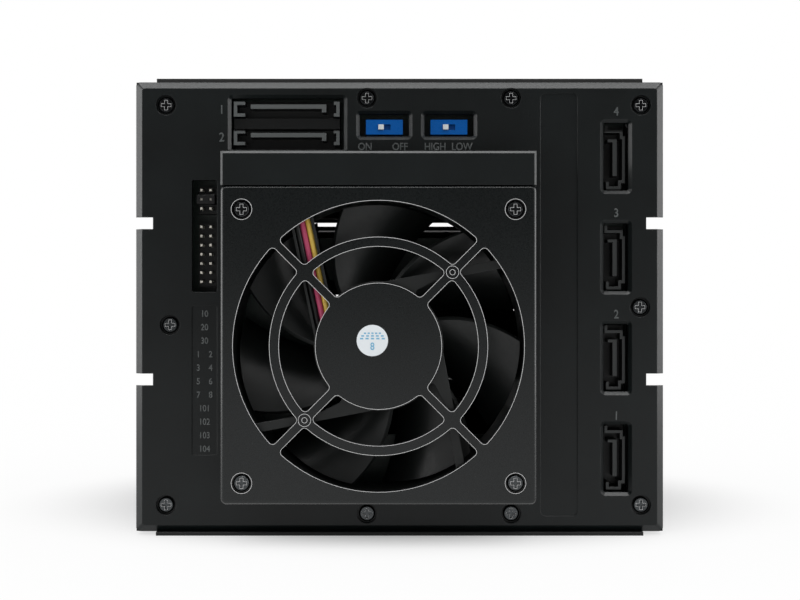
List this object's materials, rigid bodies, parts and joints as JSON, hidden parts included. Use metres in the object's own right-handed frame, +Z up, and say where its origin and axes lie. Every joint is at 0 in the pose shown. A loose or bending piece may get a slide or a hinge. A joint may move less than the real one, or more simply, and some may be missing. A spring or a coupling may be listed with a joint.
{
  "type": "hot swap drive cage",
  "caption": "Hot swap cage for 3.5 inch drives in three 5.25 inch bays: sliding trays with handles and locks, a backplane and a rear fan with grille.",
  "frame": {"origin": "middle of the footprint, on the underside of the bottom cover", "axes": "+Z up; +Y towards the trays, -Y the rear panel with the fan; +X to the right as seen from the rear"},
  "size_m": [0.1484, 0.2244, 0.1264],
  "materials": {
    "shell_black": "textured",
    "cover_black": "satin",
    "sheet_black": "powder coat",
    "screw_black": "black oxide",
    "screw_steel": "plain",
    "fan_black": "satin",
    "stator_copper": "enamelled wire",
    "shaft_steel": "ground",
    "wire_black": "insulation",
    "wire_red": "insulation",
    "wire_yellow": "insulation",
    "plug_white": "moulded",
    "board_green": "solder mask",
    "port_black": "moulded",
    "pin_gold": "plated",
    "jumper_black": "moulded",
    "switch_blue": "moulded",
    "knob_white": "moulded",
    "tray_black": "moulded",
    "lever_black": "satin",
    "button_grey": "satin",
    "lock_steel": "nickel plated",
    "pipe_clear": "clear"
  },
  "bodies": {
    "cage": {"left_side_frame": "shell_black", "right_side_frame": "shell_black", "top_cover": "sheet_black", "bottom_cover": "sheet_black", "rear_panel": "shell_black", "front_bezel": "shell_black", "rear_panel_screws": "screw_black", "cover_screws": "screw_black", "bezel_screws": "screw_black", "board_screws": "screw_steel", "fan_cover": "cover_black", "fan_frame": "fan_black", "fan_stator": "stator_copper", "fan_wire_black": "wire_black", "fan_wire_red": "wire_red", "fan_wire_yellow": "wire_yellow", "fan_plug": "plug_white", "fan_cover_screws": "screw_black", "backplane_board": "board_green", "drive_sockets": "port_black", "sata_ports": "port_black", "power_ports": "port_black", "led_switch_body": "switch_blue", "fan_switch_body": "switch_blue", "pin_header_blocks": "port_black", "header_pins": "pin_gold"},
    "tray_1": {"tray_frame_1": "tray_black", "tray_front_1": "shell_black", "light_pipes_1": "pipe_clear", "button_spring_1": "shaft_steel"},
    "lever_1": {"handle_lever_1": "lever_black"},
    "button_1": {"release_button_1": "button_grey"},
    "lock_1": {"tray_lock_1": "lock_steel"},
    "tray_2": {"tray_frame_2": "tray_black", "tray_front_2": "shell_black", "light_pipes_2": "pipe_clear", "button_spring_2": "shaft_steel"},
    "lever_2": {"handle_lever_2": "lever_black"},
    "button_2": {"release_button_2": "button_grey"},
    "lock_2": {"tray_lock_2": "lock_steel"},
    "tray_3": {"tray_frame_3": "tray_black", "tray_front_3": "shell_black", "light_pipes_3": "pipe_clear", "button_spring_3": "shaft_steel"},
    "lever_3": {"handle_lever_3": "lever_black"},
    "button_3": {"release_button_3": "button_grey"},
    "lock_3": {"tray_lock_3": "lock_steel"},
    "tray_4": {"tray_frame_4": "tray_black", "tray_front_4": "shell_black", "light_pipes_4": "pipe_clear", "button_spring_4": "shaft_steel"},
    "lever_4": {"handle_lever_4": "lever_black"},
    "button_4": {"release_button_4": "button_grey"},
    "lock_4": {"tray_lock_4": "lock_steel"},
    "fan_wheel": {"fan_rotor": "fan_black", "rotor_shaft": "shaft_steel"},
    "led_knob": {"led_switch_knob": "knob_white"},
    "fan_knob": {"fan_switch_knob": "knob_white"},
    "jumper": {"jumper_cap": "jumper_black"}
  },
  "joints": [
    {"name": "tray_slide_1", "type": "slide", "parent": "cage", "child": "tray_1", "axis": [0, 1, 0], "range_m": [0, 0.17]},
    {"name": "lever_hinge_1", "type": "hinge", "parent": "tray_1", "child": "lever_1", "pos_m": [-0.057, 0.10887, 0.0215], "axis": [0, 0, 1], "range_deg": [0, 75]},
    {"name": "button_press_1", "type": "slide", "parent": "tray_1", "child": "button_1", "axis": [0, -1, 0], "range_m": [0, 0.0018], "stiffness_N_per_m": 400, "deforming": ["button_spring_1"]},
    {"name": "lock_turn_1", "type": "hinge", "parent": "tray_1", "child": "lock_1", "pos_m": [0.056, 0.10268, 0.0215], "axis": [0, 1, 0], "range_deg": [0, 90]},
    {"name": "tray_slide_2", "type": "slide", "parent": "cage", "child": "tray_2", "axis": [0, 1, 0], "range_m": [0, 0.17]},
    {"name": "lever_hinge_2", "type": "hinge", "parent": "tray_2", "child": "lever_2", "pos_m": [-0.057, 0.10887, 0.0493], "axis": [0, 0, 1], "range_deg": [0, 75]},
    {"name": "button_press_2", "type": "slide", "parent": "tray_2", "child": "button_2", "axis": [0, -1, 0], "range_m": [0, 0.0018], "stiffness_N_per_m": 400, "deforming": ["button_spring_2"]},
    {"name": "lock_turn_2", "type": "hinge", "parent": "tray_2", "child": "lock_2", "pos_m": [0.056, 0.10268, 0.0493], "axis": [0, 1, 0], "range_deg": [0, 90]},
    {"name": "tray_slide_3", "type": "slide", "parent": "cage", "child": "tray_3", "axis": [0, 1, 0], "range_m": [0, 0.17]},
    {"name": "lever_hinge_3", "type": "hinge", "parent": "tray_3", "child": "lever_3", "pos_m": [-0.057, 0.10887, 0.0771], "axis": [0, 0, 1], "range_deg": [0, 75]},
    {"name": "button_press_3", "type": "slide", "parent": "tray_3", "child": "button_3", "axis": [0, -1, 0], "range_m": [0, 0.0018], "stiffness_N_per_m": 400, "deforming": ["button_spring_3"]},
    {"name": "lock_turn_3", "type": "hinge", "parent": "tray_3", "child": "lock_3", "pos_m": [0.056, 0.10268, 0.0771], "axis": [0, 1, 0], "range_deg": [0, 90]},
    {"name": "tray_slide_4", "type": "slide", "parent": "cage", "child": "tray_4", "axis": [0, 1, 0], "range_m": [0, 0.17]},
    {"name": "lever_hinge_4", "type": "hinge", "parent": "tray_4", "child": "lever_4", "pos_m": [-0.057, 0.10887, 0.1049], "axis": [0, 0, 1], "range_deg": [0, 75]},
    {"name": "button_press_4", "type": "slide", "parent": "tray_4", "child": "button_4", "axis": [0, -1, 0], "range_m": [0, 0.0018], "stiffness_N_per_m": 400, "deforming": ["button_spring_4"]},
    {"name": "lock_turn_4", "type": "hinge", "parent": "tray_4", "child": "lock_4", "pos_m": [0.056, 0.10268, 0.1049], "axis": [0, 1, 0], "range_deg": [0, 90]},
    {"name": "fan_spin", "type": "hinge", "parent": "cage", "child": "fan_wheel", "pos_m": [-0.0055, -0.09682, 0.053], "axis": [0, 1, 0], "continuous": true},
    {"name": "led_switch_slide", "type": "slide", "parent": "cage", "child": "led_knob", "axis": [1, 0, 0], "range_m": [0, 0.0018]},
    {"name": "fan_switch_slide", "type": "slide", "parent": "cage", "child": "fan_knob", "axis": [1, 0, 0], "range_m": [0, 0.0018]},
    {"name": "jumper_pull", "type": "slide", "parent": "cage", "child": "jumper", "axis": [0, -1, 0], "range_m": [0, 0.0095]}
  ]
}
